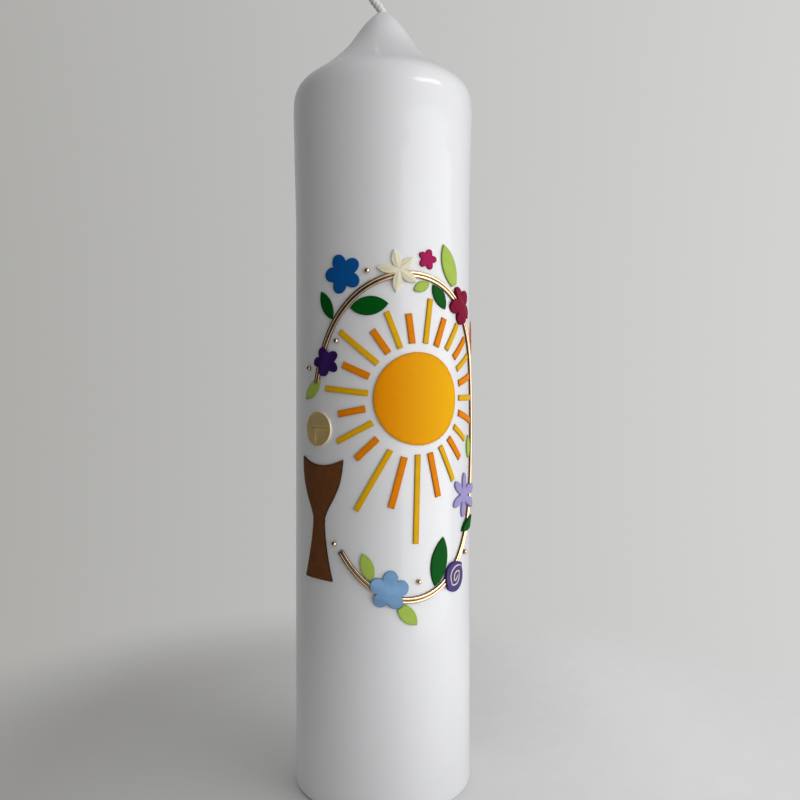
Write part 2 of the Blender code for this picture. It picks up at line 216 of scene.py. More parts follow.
def rim_of(name):
    """The outline of a sheet piece's outer face, as a closed list of (s, z)."""
    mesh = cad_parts[name].data
    flat = unroll(node_vertices(name))
    gap = np.abs(flat[:, None] - flat[None]).max(2)
    same = (gap < SAME_POINT).argmax(1)
    outer = flat[:, 2] > flat[:, 2].max() - 0.1
    count = {}
    for polygon in mesh.polygons:
        corners = [same[i] for i in polygon.vertices]
        if all(outer[i] for i in corners):
            for pair in zip(corners, corners[1:] + corners[:1]):
                key = tuple(sorted(pair))
                count[key] = count.get(key, 0) + 1
    links = {}
    for (a, b), uses in count.items():
        if uses == 1 and a != b:
            links.setdefault(a, []).append(b)
            links.setdefault(b, []).append(a)
    loops = []
    left = set(links)
    while left:
        start = min(left)
        loop = [start]
        left.discard(start)
        while True:
            after = next((i for i in links[loop[-1]] if i in left), None)
            if after is None:
                break
            loop.append(after)
            left.discard(after)
        loops.append(flat[loop][:, :2])
    return max(loops, key=lambda loop: abs(signed_area(loop)))


def signed_area(loop):
    after = np.roll(loop, -1, 0)
    return float((loop[:, 0] * after[:, 1] - after[:, 0] * loop[:, 1]).sum()) / 2


def turns(loop):
    """Turn at each point of a closed outline, in degrees."""
    into = loop - np.roll(loop, 1, 0)
    out = np.roll(loop, -1, 0) - loop
    cross = into[:, 0] * out[:, 1] - into[:, 1] * out[:, 0]
    return np.degrees(np.arctan2(cross, (into * out).sum(1)))


def cleaned(loop):
    """Without doubled points and those on a straight run, and anticlockwise."""
    gap = np.hypot(*(loop - np.roll(loop, 1, 0)).T)
    loop = loop[gap > 0.02]
    loop = loop[np.abs(turns(loop)) > STRAIGHT_TURN]
    return loop if signed_area(loop) > 0 else loop[::-1]


def smoothed(loop, step=OUTLINE_STEP, corner=CORNER):
    """A smooth closed outline through the points, with its corners kept."""
    sharp = np.abs(turns(loop)) > corner
    count = len(loop)
    points = []
    for i in range(count):
        j = (i + 1) % count
        start, end = loop[i], loop[j]
        chord = end - start
        reach = np.hypot(*chord)
        before, after = loop[i - 1], loop[(i + 2) % count]
        leave = (end - before) * reach / (reach + np.hypot(*(start - before)))
        arrive = (after - start) * reach / (reach + np.hypot(*(after - end)))
        if sharp[i] and sharp[j]:
            leave = arrive = chord
        elif sharp[i]:
            leave = 1.5 * chord - 0.5 * arrive
        elif sharp[j]:
            arrive = 1.5 * chord - 0.5 * leave
        parts = max(1, math.ceil(float(np.hypot(*chord)) / step))
        for k in range(parts):
            t = k / parts
            points.append(
                start * (2 * t**3 - 3 * t**2 + 1)
                + leave * (t**3 - 2 * t**2 + t)
                + end * (3 * t**2 - 2 * t**3)
                + arrive * (t**3 - t**2)
            )
    return np.array(points)


def outline_of(name, corner=CORNER):
    return smoothed(cleaned(rim_of(name)), corner=corner)


def heading(angle):
    """A flat direction, by its angle in radians."""
    return np.array([math.cos(angle), math.sin(angle)])


def petal_lines(name):
    """Centre of a flower and the tips of its petals in order, from its node's outline."""
    rim = cleaned(rim_of(name))
    centre = rim[turns(rim) < NOTCH_TURN].mean(0)
    reach = np.hypot(*(rim - centre).T)
    before = np.maximum(np.roll(reach, 1), np.roll(reach, 2))
    after = np.maximum(np.roll(reach, -1), np.roll(reach, -2))
    tips = rim[(reach > before) & (reach >= after)]
    angle = np.arctan2(tips[:, 1] - centre[1], tips[:, 0] - centre[0])
    return centre, tips[np.argsort(angle)]


def petal_outline(name):
    """A flower redrawn round its node's centre and petal tips, with finer petals."""
    narrowness, notch_share = PETALS[name]
    centre, tips = petal_lines(name)
    angles = sorted(math.atan2(*(tip - centre)[::-1]) % math.tau for tip in tips)
    tip = float(np.hypot(*(tips - centre).T).mean())
    loop = []
    for first, second in zip(angles, angles[1:] + [angles[0] + math.tau]):
        steps = 2 * math.ceil((second - first) * tip / 0.5)
        for step in range(steps):
            share = step / steps
            angle = first + (second - first) * share
            swell = abs(math.cos(math.pi * share)) ** narrowness
            radius = tip * (notch_share + (1 - notch_share) * swell)
            loop.append(centre + radius * heading(angle))
    return smoothed(np.array(loop), step=0.25)


def cream_outline(name):
    """Five narrow pointed petals, each drawn as a leaf from the centre to its tip."""
    centre, tips = petal_lines(name)
    angles = [math.atan2(*(tip - centre)[::-1]) for tip in tips]
    loop = []
    for k, tip in enumerate(tips):
        size = float(np.hypot(*(tip - centre)))
        along = (tip - centre) / size
        side = np.array([-along[1], along[0]])
        half = 0.5 * ((angles[(k + 1) % len(tips)] - angles[k]) % math.tau)
        for share, width in CREAM_WIDTHS:
            loop.append(centre + along * size * share - side * width)
        loop.append(tip + along * 0.25)
        for share, width in reversed(CREAM_WIDTHS):
            loop.append(centre + along * size * share + side * width)
        loop.append(centre + CREAM_NOTCH * heading(angles[k] + half))
    return smoothed(np.array(loop), step=0.22)


def middle_of(points):
    """The middle of the box round some points."""
    return (points.min(0) + points.max(0)) / 2


def leaf_tips(rim):
    """The two points of a leaf's outline that lie furthest apart."""
    gap = np.hypot(*(rim[:, None] - rim[None]).transpose(2, 0, 1))
    return np.unravel_index(gap.argmax(), gap.shape)


def leaf_outline(name):
    """A leaf's own outline, made slimmer about its middle line where it has to be."""
    rim = cleaned(rim_of(name))
    slim = SLIM_LEAVES.get(name)
    if slim:
        first, second = leaf_tips(rim)
        along = rim[second] - rim[first]
        along /= np.hypot(*along)
        side = np.array([-along[1], along[0]])
        off = (rim - rim[first]) @ side
        rim = rim - np.outer(off * (1 - slim), side)
    return smoothed(rim)


def distance_to(points, line, closed=True):
    """Distance from each point to a line through many points."""
    points = np.asarray(points, float)
    ends = np.roll(line, -1, 0) if closed else line[1:]
    starts = line if closed else line[:-1]
    along = ends - starts
    size = np.maximum((along**2).sum(1), 1e-12)
    best = np.full(len(points), np.inf)
    for first in range(0, len(points), 400):
        chunk = points[first : first + 400, None, :] - starts[None]
        share = np.clip((chunk * along[None]).sum(2) / size, 0, 1)
        gap = chunk - share[..., None] * along[None]
        best[first : first + 400] = np.sqrt((gap**2).sum(2)).min(1)
    return best


def inside(points, loop):
    """Which points lie inside a closed outline."""
    x, y = points[:, 0][:, None], points[:, 1][:, None]
    x0, y0 = loop[:, 0][None], loop[:, 1][None]
    x1, y1 = np.roll(loop[:, 0], -1)[None], np.roll(loop[:, 1], -1)[None]
    crosses = (y0 > y) != (y1 > y)
    rise = np.where(y1 == y0, 1e-12, y1 - y0)
    left = x < (x1 - x0) * (y - y0) / rise + x0
    return (crosses & left).sum(1) % 2 == 1


def flat_points(loop, insets, pitch):
    """The outline, its inset lines and an even filling, for the triangulation."""
    into = loop - np.roll(loop, 1, 0)
    out = np.roll(loop, -1, 0) - loop
    into /= np.hypot(*into.T)[:, None]
    out /= np.hypot(*out.T)[:, None]
    inward = np.stack([-(into + out)[:, 1], (into + out)[:, 0]], 1)
    inward /= np.maximum(np.hypot(*inward.T), 0.2)[:, None]
    layers = []
    for inset in insets:
        moved = loop + inward * inset
        kept = inside(moved, loop) & (distance_to(moved, loop) > inset * 0.9)
        layers.append(moved[kept])
    low, high = loop.min(0), loop.max(0)
    rows = []
    for row, z in enumerate(np.arange(low[1], high[1], pitch * 0.866)):
        xs = np.arange(low[0] + (row % 2) * pitch / 2, high[0], pitch)
        rows.append(np.stack([xs, np.full(len(xs), z)], 1))
    grid = np.concatenate(rows)
    grid = grid[inside(grid, loop)]
    grid = grid[distance_to(grid, loop) > insets[-1] + pitch * 0.45]
    return np.concatenate([loop] + layers + [grid])


def edge_height(distance, thickness, radius):
    """Height of a sheet with a rounded cut edge, by distance from its outline."""
    inner = np.clip(radius - distance, 0, radius)
    return thickness - radius + np.sqrt(np.maximum(radius**2 - inner**2, 0))


# Mesh objects


def add_object(name, vertices, faces, material, smooth=True):
    mesh = bpy.data.meshes.new(name)
    mesh.from_pydata([tuple(v) for v in vertices], [], faces)
    mesh.update()
    obj = bpy.data.objects.new(name, mesh)
    bpy.context.scene.collection.objects.link(obj)
    mesh.materials.append(material)
    if smooth:
        mesh.shade_smooth()
        mesh.set_sharp_from_angle(angle=math.radians(50))
    return obj


def add_share(obj, name, values):
    """A number on each vertex, for the material to read."""
    attribute = obj.data.attributes.new(name, "FLOAT", "POINT")
    attribute.data.foreach_set("value", np.asarray(values, np.float32))


def finish_piece(obj, slot, *nodes):
    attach(obj, "root")
    if nodes:
        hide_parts(*nodes)
    return obj


def sheet_mesh(loop, thickness, edge, pitch, lift, relief):
    """Vertices, faces and edge shares of a closed sheet piece, rolled onto the side."""
    insets = [edge * share for share in SHEET_EDGE_STEPS]
    points = flat_points(loop, insets, pitch)
    found = delaunay_2d_cdt(
        [Vector(p) for p in points], [], [list(range(len(loop)))], 1, 1e-7
    )
    flat = np.array([tuple(v) for v in found[0]])
    triangles = [list(face) for face in found[2]]
    distance = distance_to(flat, loop)
    base = lift(flat)
    top = base + edge_height(distance, thickness, edge) + relief(flat, distance)
    bottom = np.maximum(base - SINK - UNDERSIDE, -SINK)
    count = len(flat)
    vertices = np.concatenate(
        [np.column_stack([flat, top]), np.column_stack([flat, bottom])]
    )
    faces = []
    uses = {}
    for a, b, c in triangles:
        u, v, w = flat[a], flat[b], flat[c]
        if (v[0] - u[0]) * (w[1] - u[1]) - (v[1] - u[1]) * (w[0] - u[0]) < 0:
            b, c = c, b
        faces.append((a, b, c))
        faces.append((c + count, b + count, a + count))
        for edge_pair in ((a, b), (b, c), (c, a)):
            key = tuple(sorted(edge_pair))
            uses[key] = None if key in uses else edge_pair
    for pair in uses.values():
        if pair:
            a, b = pair
            faces.append((b, a, a + count, b + count))
    # Share of the painted edge shading: 1 near the cut edge, on the side walls and beneath, where
    # the material paints shade (a highlight on the host).
    rim = np.concatenate([np.clip(1 - distance / PAINTED_EDGE_WIDTH, 0, 1), np.ones(count)])
    return roll(vertices), faces, rim


def no_lift(points):
    return np.zeros(len(points))


def waviness(points, amount, scale, seed):
    """Slow unevenness of a sheet pressed on by hand."""
    values = [noise.noise((x * scale, y * scale, seed)) for x, y in points]
    return amount * np.array(values)


# Materials


def node_material(name):
    material = bpy.data.materials.new(name)
    material.use_nodes = True
    nodes = material.node_tree.nodes
    return material, nodes, material.node_tree.links, nodes["Principled BSDF"]


def add_noise(nodes, links, source, scale, detail, roughness=0.5):
    texture = nodes.new("ShaderNodeTexNoise")
    texture.inputs["Scale"].default_value = scale
    texture.inputs["Detail"].default_value = detail
    texture.inputs["Roughness"].default_value = roughness
    links.new(source, texture.inputs["Vector"])
    return texture.outputs["Fac"]


def add_range(nodes, links, value, low, high, out_low, out_high):
    node = nodes.new("ShaderNodeMapRange")
    node.inputs["From Min"].default_value = low
    node.inputs["From Max"].default_value = high
    node.inputs["To Min"].default_value = out_low
    node.inputs["To Max"].default_value = out_high
    links.new(value, node.inputs["Value"])
    return node.outputs["Result"]


def add_mix(nodes, links, factor, first, second):
    """A colour between two, each a plain colour or another node's output."""
    node = nodes.new("ShaderNodeMix")
    node.data_type = "RGBA"
    for socket, colour in ((node.inputs[6], first), (node.inputs[7], second)):
        if isinstance(colour, tuple):
            socket.default_value = (*colour, 1.0)
        else:
            links.new(colour, socket)
    links.new(factor, node.inputs["Factor"])
    return node.outputs[2]


def add_math(nodes, links, operation, first, second):
    node = nodes.new("ShaderNodeMath")
    node.operation = operation
    links.new(first, node.inputs[0])
    links.new(second, node.inputs[1])
    return node.outputs[0]


def add_dot(nodes, links, source, direction):
    node = nodes.new("ShaderNodeVectorMath")
    node.operation = "DOT_PRODUCT"
    node.inputs[1].default_value = direction
    links.new(source, node.inputs[0])
    return node.outputs["Value"]


def add_shader_mix(nodes, links, factor, first, second):
    mix = nodes.new("ShaderNodeMixShader")
    links.new(factor, mix.inputs["Fac"])
    links.new(first.outputs[0], mix.inputs[1])
    links.new(second.outputs[0], mix.inputs[2])
    return mix


def add_bump(nodes, links, heights, shader):
    """Bumps from (height, strength, distance) rows, chained into the shader."""
    normal = None
    for height, strength, distance in heights:
        bump = nodes.new("ShaderNodeBump")
        bump.inputs["Strength"].default_value = strength
        bump.inputs["Distance"].default_value = distance
        links.new(height, bump.inputs["Height"])
        if normal:
            links.new(normal, bump.inputs["Normal"])
        normal = bump.outputs["Normal"]
    links.new(normal, shader.inputs["Normal"])


def shade(colour, factor):
    return tuple(min(1.0, channel * factor) for channel in colour)


def add_share_reader(nodes, name):
    node = nodes.new("ShaderNodeAttribute")
    node.attribute_name = name
    return node.outputs["Fac"]


def wax_material(name, colour, roughness=0.40, depth=0.05, rim=0.62, across=None):
    """Coloured wax sheet: faintly clouded, satin, and painted darker along its cut edge and side
    walls as shade.

    across is a second, lit colour that it turns to along X, over a sun's width, so that its left is
    painted shade and its right painted light.
    """
    material, nodes, links, shader = node_material(name)
    place = nodes.new("ShaderNodeTexCoord").outputs["Object"]
    cloud = add_noise(nodes, links, place, 420, 3)
    share = add_range(nodes, links, cloud, 0.3, 0.7, 0, 1)
    face = add_mix(nodes, links, share, shade(colour, 1 - depth), shade(colour, 1 + depth))
    # Painted shade and light: from the shaded colour on the sun's left to the lit one on its right.
    if across:
        x = nodes.new("ShaderNodeSeparateXYZ")
        links.new(place, x.inputs[0])
        side = add_range(nodes, links, x.outputs["X"], -0.014, 0.014, 0, 1)
        face = add_mix(nodes, links, side, face, across)
    # Painted shade: near the cut edge and on the side walls the colour turns to a darker copy of
    # itself.
    edge = add_range(nodes, links, add_share_reader(nodes, "rim"), 0.1, 1.0, 0, 1)
    links.new(
        add_mix(nodes, links, edge, face, shade(colour, rim)),
        shader.inputs["Base Color"],
    )
    grain = add_noise(nodes, links, place, 2600, 4)
    links.new(
        add_range(nodes, links, grain, 0.3, 0.7, roughness - 0.05, roughness + 0.09),
        shader.inputs["Roughness"],
    )
    swell = add_noise(nodes, links, place, 420, 2)
    add_bump(nodes, links, [(swell, 0.15, 0.0002), (grain, 0.08, 0.00005)], shader)
    shader.inputs["Specular IOR Level"].default_value = 0.05
    return material


def white_wax_material():
    """Dipped white wax: satin, faintly translucent, with slow dip marks and pits."""
    material, nodes, links, shader = node_material("white_wax_finish")
    place = nodes.new("ShaderNodeTexCoord").outputs["Object"]
    stretch = nodes.new("ShaderNodeMapping")
    stretch.inputs["Scale"].default_value = (1.0, 1.0, 0.3)
    links.new(place, stretch.inputs["Vector"])
    cloud = add_noise(nodes, links, stretch.outputs["Vector"], 60, 4)
    share = add_range(nodes, links, cloud, 0.35, 0.65, 0, 1)
    links.new(
        add_mix(nodes, links, share, (0.845, 0.85, 0.87), (0.86, 0.865, 0.885)),
        shader.inputs["Base Color"],
    )
    grain = add_noise(nodes, links, place, 1800, 3)
    mottle = add_noise(nodes, links, place, 150, 3)
    links.new(
        add_range(nodes, links, mottle, 0.3, 0.7, 0.30, 0.36),
        shader.inputs["Roughness"],
    )
    runs = add_noise(nodes, links, stretch.outputs["Vector"], 130, 2)
    add_bump(
        nodes,
        links,
        [(runs, 0.2, 0.0003), (mottle, 0.03, 0.00012), (grain, 0.03, 0.00004)],
        shader,
    )
    shader.inputs["Subsurface Weight"].default_value = 0.35
    shader.inputs["Subsurface Radius"].default_value = (1.0, 0.85, 0.75)
    shader.inputs["Subsurface Scale"].default_value = 0.0012
    shader.inputs["Specular IOR Level"].default_value = 0.3
    shader.inputs["Coat Weight"].default_value = 0.5
    shader.inputs["Coat Roughness"].default_value = 0.04
    return material


def gold_material(name, colour, side, roughness=0.12, metallic=1.0):
    """Gold on wax: bright and a little worn, with its sides painted another colour: painted shade
    on strands and beads, a painted highlight on the host.
    """
    material, nodes, links, shader = node_material(name)
    place = nodes.new("ShaderNodeTexCoord").outputs["Object"]
    worn = add_noise(nodes, links, place, 400, 2)
    share = add_range(nodes, links, worn, 0.35, 0.7, 0, 1)
    face = add_mix(nodes, links, share, shade(colour, 0.92), shade(colour, 1.06))
    # Painted shading: the marked sides turn to the side colour, darker as shade on strands and
    # beads, paler as a highlight on the host.
    edge = add_range(nodes, links, add_share_reader(nodes, "rim"), 0.25, 0.70, 0, 1)
    links.new(add_mix(nodes, links, edge, face, side), shader.inputs["Base Color"])
    links.new(
        add_range(nodes, links, worn, 0.3, 0.7, roughness, roughness + 0.1),
        shader.inputs["Roughness"],
    )
    dents = add_noise(nodes, links, place, 300, 1)
    add_bump(nodes, links, [(dents, 0.08, 0.0002)], shader)
    shader.inputs["Metallic"].default_value = metallic
    return material


def cotton_material():
    """Waxed cotton braid: off-white thread with fine fibres."""
    material, nodes, links, shader = node_material("cotton_finish")
    place = nodes.new("ShaderNodeTexCoord").outputs["Object"]
    fibres = add_noise(nodes, links, place, 5200, 5, 0.7)
    share = add_range(nodes, links, fibres, 0.35, 0.65, 0, 1)
    links.new(
        add_mix(nodes, links, share, (0.79, 0.785, 0.78), (0.86, 0.855, 0.85)),
        shader.inputs["Base Color"],
    )
    links.new(
        add_range(nodes, links, fibres, 0.3, 0.7, 0.5, 0.8),
        shader.inputs["Roughness"],
    )
    add_bump(nodes, links, [(fibres, 0.18, 0.00008)], shader)
    return material


COLOURS = {
    "ray_yellow": (0.84, 0.46, 0.006),
    "ray_orange": (0.86, 0.25, 0.001),
    "dark_green": (0.001, 0.095, 0.008),
    "light_green": (0.42, 0.58, 0.10),
    "blue": (0.003, 0.095, 0.34),
    "magenta": (0.42, 0.012, 0.10),
    "crimson": (0.245, 0.006, 0.036),
    "violet": (0.035, 0.010, 0.095),
    "lilac": (0.37, 0.32, 0.60),
    "pale_blue": (0.215, 0.395, 0.64),
    "coral": (0.82, 0.23, 0.15),
    "pink": (0.80, 0.38, 0.44),
    "spiral_violet": (0.095, 0.062, 0.235),
}
WAX = {name: wax_material(f"{name}_finish", colour) for name, colour in COLOURS.items()}
# The sun is painted more orange on its left, as shade away from the window, and yellower on its
# right, where the light falls.
SUN_SHADED_LEFT = (0.90, 0.30, 0.001)
SUN_LIT_RIGHT = (0.90, 0.47, 0.001)
SUN = wax_material("sun_yellow_finish", SUN_SHADED_LEFT, depth=0.02, across=SUN_LIT_RIGHT)
PEARL = wax_material("cream_finish", (0.88, 0.83, 0.63), 0.3, 0.04, 1.0)
WHITE = white_wax_material()
# The dark brown on the sides of strands and beads is painted shade.
GOLD = gold_material("gold_finish", (0.90, 0.67, 0.43), (0.16, 0.065, 0.03))
# The pale colour along the host's cut edge and side walls is a painted highlight.
HOST_GOLD = gold_material("host_gold_finish", (0.76, 0.57, 0.24), (0.97, 0.90, 0.68), 0.30, 0.35)
# The chalice is painted much darker along its cut edge, as shade.
BRONZE = wax_material("bronze_brown_finish", (0.165, 0.062, 0.021), 0.38, 0.10, 0.25)
COTTON = cotton_material()


# Candle body and wick


def meridian(name):
    """Outer and inner lines (radius, z) of a turned node, both from the base upwards."""
    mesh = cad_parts[name].data
    lines = {True: set(), False: set()}
    for polygon in mesh.polygons:
        middle, normal = polygon.center, polygon.normal
        reach = math.hypot(middle.x, middle.y)
        outward = (middle.x * normal.x + middle.y * normal.y) / max(reach, 1e-9)
        if normal.z < -0.98 and middle.z < 0.5 * MM:
            continue
        for i in polygon.vertices:
            x, y, z = mesh.vertices[i].co / MM
            point = (round(math.hypot(x, y), 2), round(z, 2))
            lines[outward + 0.6 * normal.z > 0].add(point)
    return [ordered(lines[True]), ordered(lines[False])]


def ordered(points):
    """Points of a line that rises and closes in, in order and without near doubles."""
    line = []
    for radius, z in sorted(points, key=lambda point: point[1] - point[0] * 0.4):
        if not line or math.hypot(radius - line[-1][0], z - line[-1][1]) > 0.15:
            line.append((radius, z))
    return line


def lathe(outline, sides, wobble):
    """Vertices and faces of a closed outline turned round the axis."""
    vertices, faces = [], []
    count = len(outline)
    for side in range(sides):
        angle = math.tau * side / sides
        for radius, z in outline:
            reach = radius + wobble(angle, radius, z)
            vertices.append((reach * math.sin(angle) * MM, -reach * math.cos(angle) * MM, z * MM))
    for side in range(sides):
        here, there = side * count, (side + 1) % sides * count
        for i in range(count):
            j = (i + 1) % count
            faces.append((here + i, there + i, there + j, here + j))
    return vertices, faces


def open_smooth(points, step):
    """A smooth line through points, at about even steps."""
    points = np.asarray(points, float)
    reach = np.linalg.norm(np.diff(points, axis=0), axis=1)
    slope = np.empty_like(points)
    slope[0] = (points[1] - points[0]) / reach[0]
    slope[-1] = (points[-1] - points[-2]) / reach[-1]
    slope[1:-1] = (points[2:] - points[:-2]) / (reach[1:] + reach[:-1])[:, None]
    out = []
    for i, size in enumerate(reach):
        parts = max(1, math.ceil(size / step))
        for k in range(parts):
            t = k / parts
            out.append(
                points[i] * (2 * t**3 - 3 * t**2 + 1)
                + slope[i] * size * (t**3 - 2 * t**2 + t)
                + points[i + 1] * (3 * t**2 - 2 * t**3)
                + slope[i + 1] * size * (t**3 - t**2)
            )
    out.append(points[-1])
    return np.array(out)


def dip_wobble(angle, radius, z):
    """Slow unevenness of the dipped surface, slight where the decoration lies."""
    around = (math.sin(angle) * 1.3, math.cos(angle) * 1.3)
    value = noise.noise((around[0], around[1], z * 0.035))
    ring = 0.5 * noise.noise((around[0] * 0.4, around[1] * 0.4, z * 0.16 + 7.0))
    strength = 0.02 + 0.10 * min(1.0, max(0.0, (z - WOBBLE_BOTTOM) / 30.0))
    return (value + ring) * strength * min(1.0, radius / 12.0)


def make_body():
    outer, inner = meridian("overdip_coat")
    top = outer[-1][1]
    bore = WICK_RADIUS - 0.1
    outer = open_smooth([point for point in outer if point[0] > 2.0], BODY_STEP)
    for _ in range(SHOULDER_SOFTENING):
        middle = (outer[:-2] + outer[2:]) / 2
        high = (outer[1:-1, 1] > SHOULDER_BOTTOM)[:, None]
        outer[1:-1] = np.where(high, (outer[1:-1] + middle) / 2, outer[1:-1])
    neck = [(bore, top + 0.35), (bore, top - 1.2)]
    inner = [point for point in inner[1:] if point[0] > 2.0]
    outline = [tuple(p) for p in outer] + neck + inner[::-1]
    vertices, faces = lathe(outline, BODY_SIDES, dip_wobble)
    body = add_object("candle_body", vertices, faces, WHITE)
    finish_piece(body, "white_wax", "overdip_coat")


def tube_mesh(path, radii, sides):
    """A closed round tube along a path in millimetres, with a radius at each point."""
    path = np.asarray(path, float)
    radii = np.broadcast_to(radii, len(path))
    tangent = np.gradient(path, axis=0)
    tangent /= np.linalg.norm(tangent, axis=1)[:, None]
    side = np.cross(tangent[0], (0.3, 0.9, 0.2))
    vertices, faces = [], []
    for point, along, radius in zip(path, tangent, radii):
        side = side - along * float(side @ along)
        side /= np.linalg.norm(side)
        up = np.cross(along, side)
        for k in range(sides):
            angle = math.tau * k / sides
            vertices.append((point + radius * (math.cos(angle) * side + math.sin(angle) * up)) * MM)
    for ring in range(len(path) - 1):
        for k in range(sides):
            a, b = ring * sides + k, ring * sides + (k + 1) % sides
            faces.append((a, b, b + sides, a + sides))
    faces.append(tuple(reversed(range(sides))))
    faces.append(tuple(range((len(path) - 1) * sides, len(path) * sides)))
    return vertices, faces


def wick_line():
    """The wick's line above the wax: out of the tip at a slant, then up to its CAD end."""
    points = node_vertices("wick")
    high = points[points[:, 2] > points[:, 2].max() - 1.5]
    end = high.mean(0)
    apex = np.array([0, 0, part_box("overdip_coat")[1].z / MM])
    flat = (end - apex) * (1, 1, 0)
    flat /= np.linalg.norm(flat)
    up = np.array([0, 0, 1.0])
    first = apex + flat * 0.5 + up * 0.9
    second = apex + flat * 4.0 + up * 6.0
    third = apex + (end - apex) * 0.74 + flat * 0.35
    return open_smooth([apex - up * 5, apex - up * 1.5, first, second, third, end], WICK_STEP)


def make_wick():
    """A waxed plait: two crossing windings raised on a round cord, with a blunt cut end."""
    line = wick_line()
    top = line[0][2]
    below = [(0, 0, z) for z in np.linspace(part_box("wick")[0].z / MM, top - 2, 30)]
    path = np.concatenate([below, line])
    run = np.concatenate([[0], np.cumsum(np.linalg.norm(np.diff(path, axis=0), axis=1))])
    vertices, faces = tube_mesh(path, WICK_RADIUS, WICK_SIDES)
    for ring, centre in enumerate(path):
        blunt = math.sqrt(min(1.0, 0.35 + (run[-1] - run[ring]) / 0.7))
        climb = run[ring] * WICK_CLIMB
        for k in range(WICK_SIDES):
            angle = math.tau * k / WICK_SIDES
            weave = max(math.sin(3 * angle + climb), math.sin(3 * angle - climb))
            plait = WICK_PLAIT * (weave - 0.7) if centre[2] > top else -0.05
            share = (WICK_RADIUS + plait) / WICK_RADIUS * blunt
            spot = vertices[ring * WICK_SIDES + k] / MM
            vertices[ring * WICK_SIDES + k] = (centre + (spot - centre) * share) * MM
    wick = add_object("wick_braid", vertices, faces, COTTON)
    finish_piece(wick, "cotton", "wick")


# Wreath


def strand_line(name):
    """Centre line of a strand, from the rings of its CAD tube."""
    flat = unroll(node_vertices(name))
    keys = {tuple(key) for key in np.round(flat, 3)}
    flat = np.array(sorted(keys))
    middle = middle_of(flat)
    angle = np.degrees(np.arctan2(flat[:, 1] - middle[1], flat[:, 0] - middle[0]))
    angle = (angle - WREATH_OPENING) % 360
    flat = flat[np.argsort(angle)]
    angle = np.sort(angle)
    groups = np.split(flat, np.where(np.diff(angle) > 1.5)[0] + 1)
    return np.array([group[:, :2].mean(0) for group in groups])


STRANDS = {name: strand_line(name) for name in ("wreath_strand_outer", "wreath_strand_inner")}
WREATH = (STRANDS["wreath_strand_outer"] + STRANDS["wreath_strand_inner"]) / 2


def drape(points):
    """How far a piece over the wreath is lifted by the strands beneath it."""
    gap = distance_to(points, WREATH, closed=False)
    share = np.clip((DRAPE_NONE - gap) / (DRAPE_NONE - DRAPE_FULL), 0, 1)
    return (STRAND_LIFT + STRAND_RADIUS) * share * share * (3 - 2 * share)


def beyond(before, end, reach):
    """A point past the end of a line, straight on from the point before it."""
    along = end - before
    return end + along / np.hypot(*along) * reach


def make_strands():
    for name, line in STRANDS.items():
        line = WREATH + (line - WREATH) * STRAND_CLOSER
        first = beyond(line[1], line[0], STRAND_START)
        last = beyond(line[-2], line[-1], STRAND_END)
        flat = open_smooth(np.concatenate([[first], line[1:-1], [last]]), 0.6)
        uneven = np.array([noise.noise((i * 0.09, len(name), 0)) for i in range(len(flat))])
        path = np.column_stack([flat, STRAND_LIFT + 0.03 * uneven])
        radii = STRAND_RADIUS * (1 + 0.04 * uneven)
        radii[[0, -1]] *= 0.7
        vertices, faces = tube_mesh(roll(path) / MM, radii, STRAND_SIDES)
        strand = add_object(f"{name}_gold", vertices, faces, GOLD)
        # Painted shade: each strand's sides below its top are marked to turn dark brown in the gold
        # material.
        above = unroll(np.array(vertices) / MM)[:, 2] - STRAND_LIFT
        add_share(strand, "rim", np.clip(1 - above / STRAND_RADIUS, 0, 1))
        finish_piece(strand, "gold", name)


# Sheet pieces


def make_sheet(node, slot, material, relief=None, thickness=SHEET_THICKNESS, pitch=0.9, loop=None):
    loop = outline_of(node) if loop is None else loop
    over = float(unroll(node_vertices(node))[:, 2].max()) > 1.5
    pitch = min(pitch, 0.4) if over else pitch
    seed = sum(ord(letter) for letter in node) * 0.37

    def surface(points, distance):
        inner = np.clip(distance / 1.5, 0, 1)
        extra = relief(points, distance) if relief else 0.0
        return waviness(points, WAVINESS, 0.35, seed) * inner + extra

    lift = drape if over else no_lift
    vertices, faces, rim = sheet_mesh(loop, thickness, SHEET_EDGE, pitch, lift, surface)
    piece = add_object(f"{node}_wax", vertices, faces, material)
    add_share(piece, "rim", rim)
    return finish_piece(piece, slot, node)


def make_rays():
    for name in sorted(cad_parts):
        if name.startswith("ray_"):
            slot = name[:-3]
            make_sheet(name, slot, WAX[slot], thickness=RAY_THICKNESS, pitch=0.8)


def cream_relief(name):
    """Petals hollowed along the middle, with fine veins that fan out to the edge."""
    centre, tips = petal_lines(name)

    def relief(points, distance):
        best = np.full(len(points), -np.inf)
        height = np.zeros(len(points))
        for tip in tips:
            out = tip - centre
            size = float(np.hypot(*out))
            along = out / size
            run = (points - centre) @ along
            off = (points - centre) @ np.array([-along[1], along[0]])
            nearer = run > best
            vein = 0.07 * np.cos(off * 9.0 + run * 1.2)
            ridge = 0.22 * np.exp(-((np.abs(off) / 0.4) ** 2)) + vein
            fade = np.clip(run / 1.5, 0, 1) * np.clip((size - run) / 1.5, 0, 1)
            height = np.where(nearer, ridge * fade, height)
            best = np.maximum(best, run)
        return height * np.clip(distance / 0.35, 0, 1)

    return relief


def make_flowers():
    for name in sorted(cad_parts):
        if name.startswith("flower_"):
            slot = name.removeprefix("flower_")
            loop = petal_outline(name) if name in PETALS else cream_outline(name)
            relief = cream_relief(name) if name not in PETALS else None
            material = WAX[slot] if name in PETALS else PEARL
            make_sheet(name, slot, material, relief, pitch=0.7, loop=loop)


def make_leaves():
    for name in sorted(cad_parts):
        if name.startswith("leaf_"):
            slot = "dark_green" if "dark" in name else "light_green"
            make_sheet(name, slot, WAX[slot], pitch=0.8, loop=leaf_outline(name))


